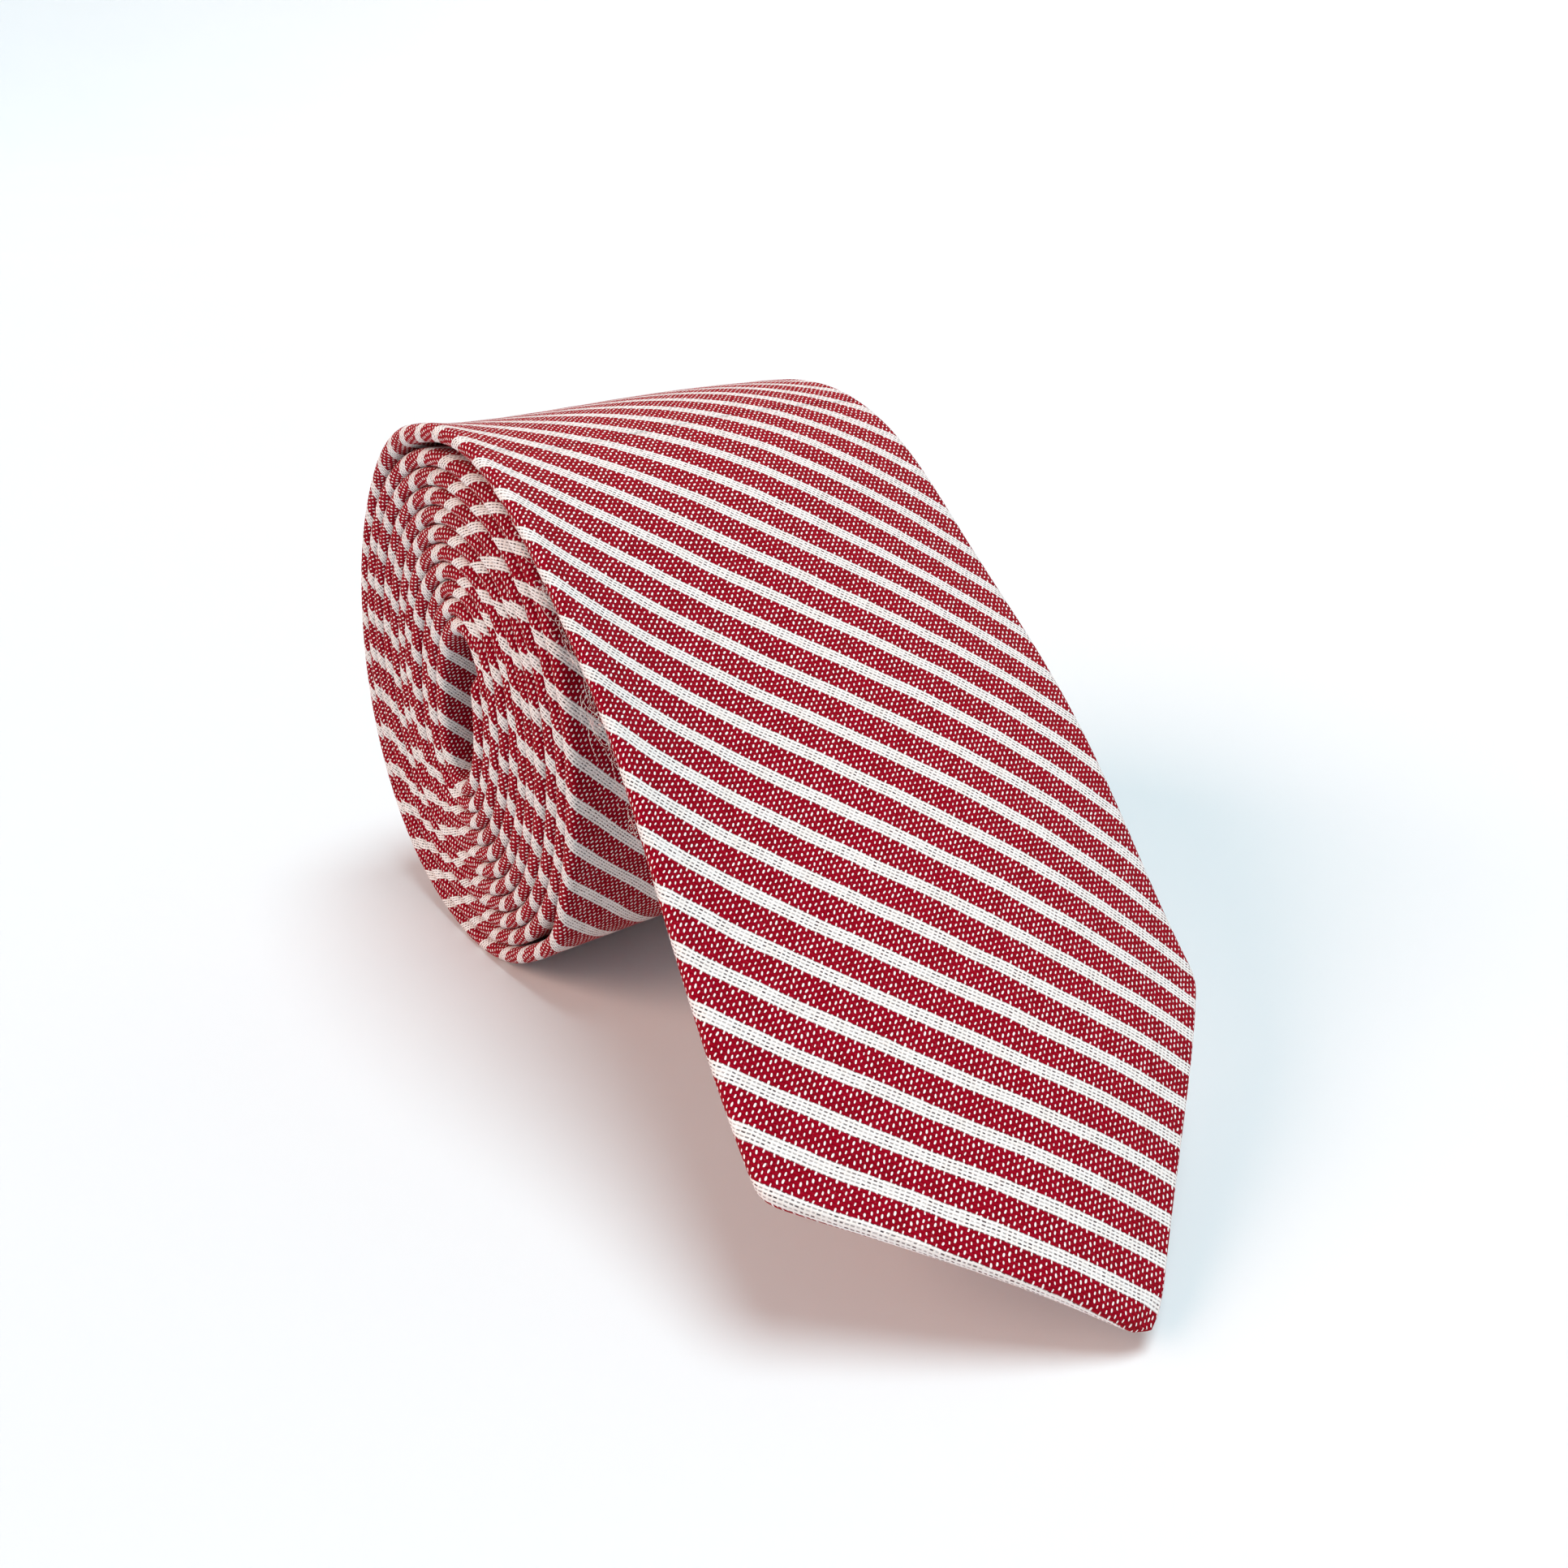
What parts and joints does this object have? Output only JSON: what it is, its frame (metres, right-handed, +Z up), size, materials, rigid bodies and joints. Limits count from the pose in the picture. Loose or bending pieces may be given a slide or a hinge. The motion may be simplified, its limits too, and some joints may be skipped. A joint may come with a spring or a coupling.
{
  "type": "rolled necktie",
  "caption": "Slim cotton necktie with diagonal stripes, rolled up from its tail, its pointed wide blade lying forward off the top of the roll.",
  "frame": {"origin": "middle of the flat strip under the roll, on the surface it stands on, below the fold-free face of the outer turn", "axes": "+X along the roll's axis, from the end whose edges are level towards the other; -Y towards the blade's tip; +Z up"},
  "size_m": [0.0638, 0.136, 0.0711],
  "materials": {
    "shell_cloth": "plain-weave cotton, crimson and white diagonal stripes, matte",
    "interlining": "brushed wool blend, matte",
    "lining": "smooth satin lining, soft sheen",
    "label_tape": "woven tape, blank",
    "thread": "matte sewing thread"
  },
  "bodies": {
    "roll": {"rolled_blade_shell": "shell_cloth", "neck_shell": "shell_cloth", "tail_shell": "shell_cloth", "rolled_interlining": "interlining", "tail_interlining": "interlining", "tail_tipping": "lining", "keeper_loop": "shell_cloth", "keeper_stitch_left": "thread", "keeper_stitch_right": "thread", "tail_bar_tack": "thread", "rolled_slip_stitch": "thread"},
    "upper_blade": {"upper_blade_shell": "shell_cloth", "upper_interlining": "interlining", "upper_slip_stitch": "thread"},
    "lower_blade": {"lower_blade_shell": "shell_cloth", "lower_interlining": "interlining", "blade_tipping": "lining", "blank_label": "label_tape", "blade_bar_tack": "thread", "slack_thread_loop": "thread"}
  },
  "joints": [
    {"name": "blade_lift", "type": "hinge", "parent": "roll", "child": "upper_blade", "pos_m": [0, 0.00197, 0.0705], "axis": [-1, 0, 0], "range_deg": [0, 120]},
    {"name": "blade_bend", "type": "hinge", "parent": "upper_blade", "child": "lower_blade", "pos_m": [0, -0.03526, 0.05926], "axis": [-1, 0, 0], "range_deg": [0, 90]}
  ]
}
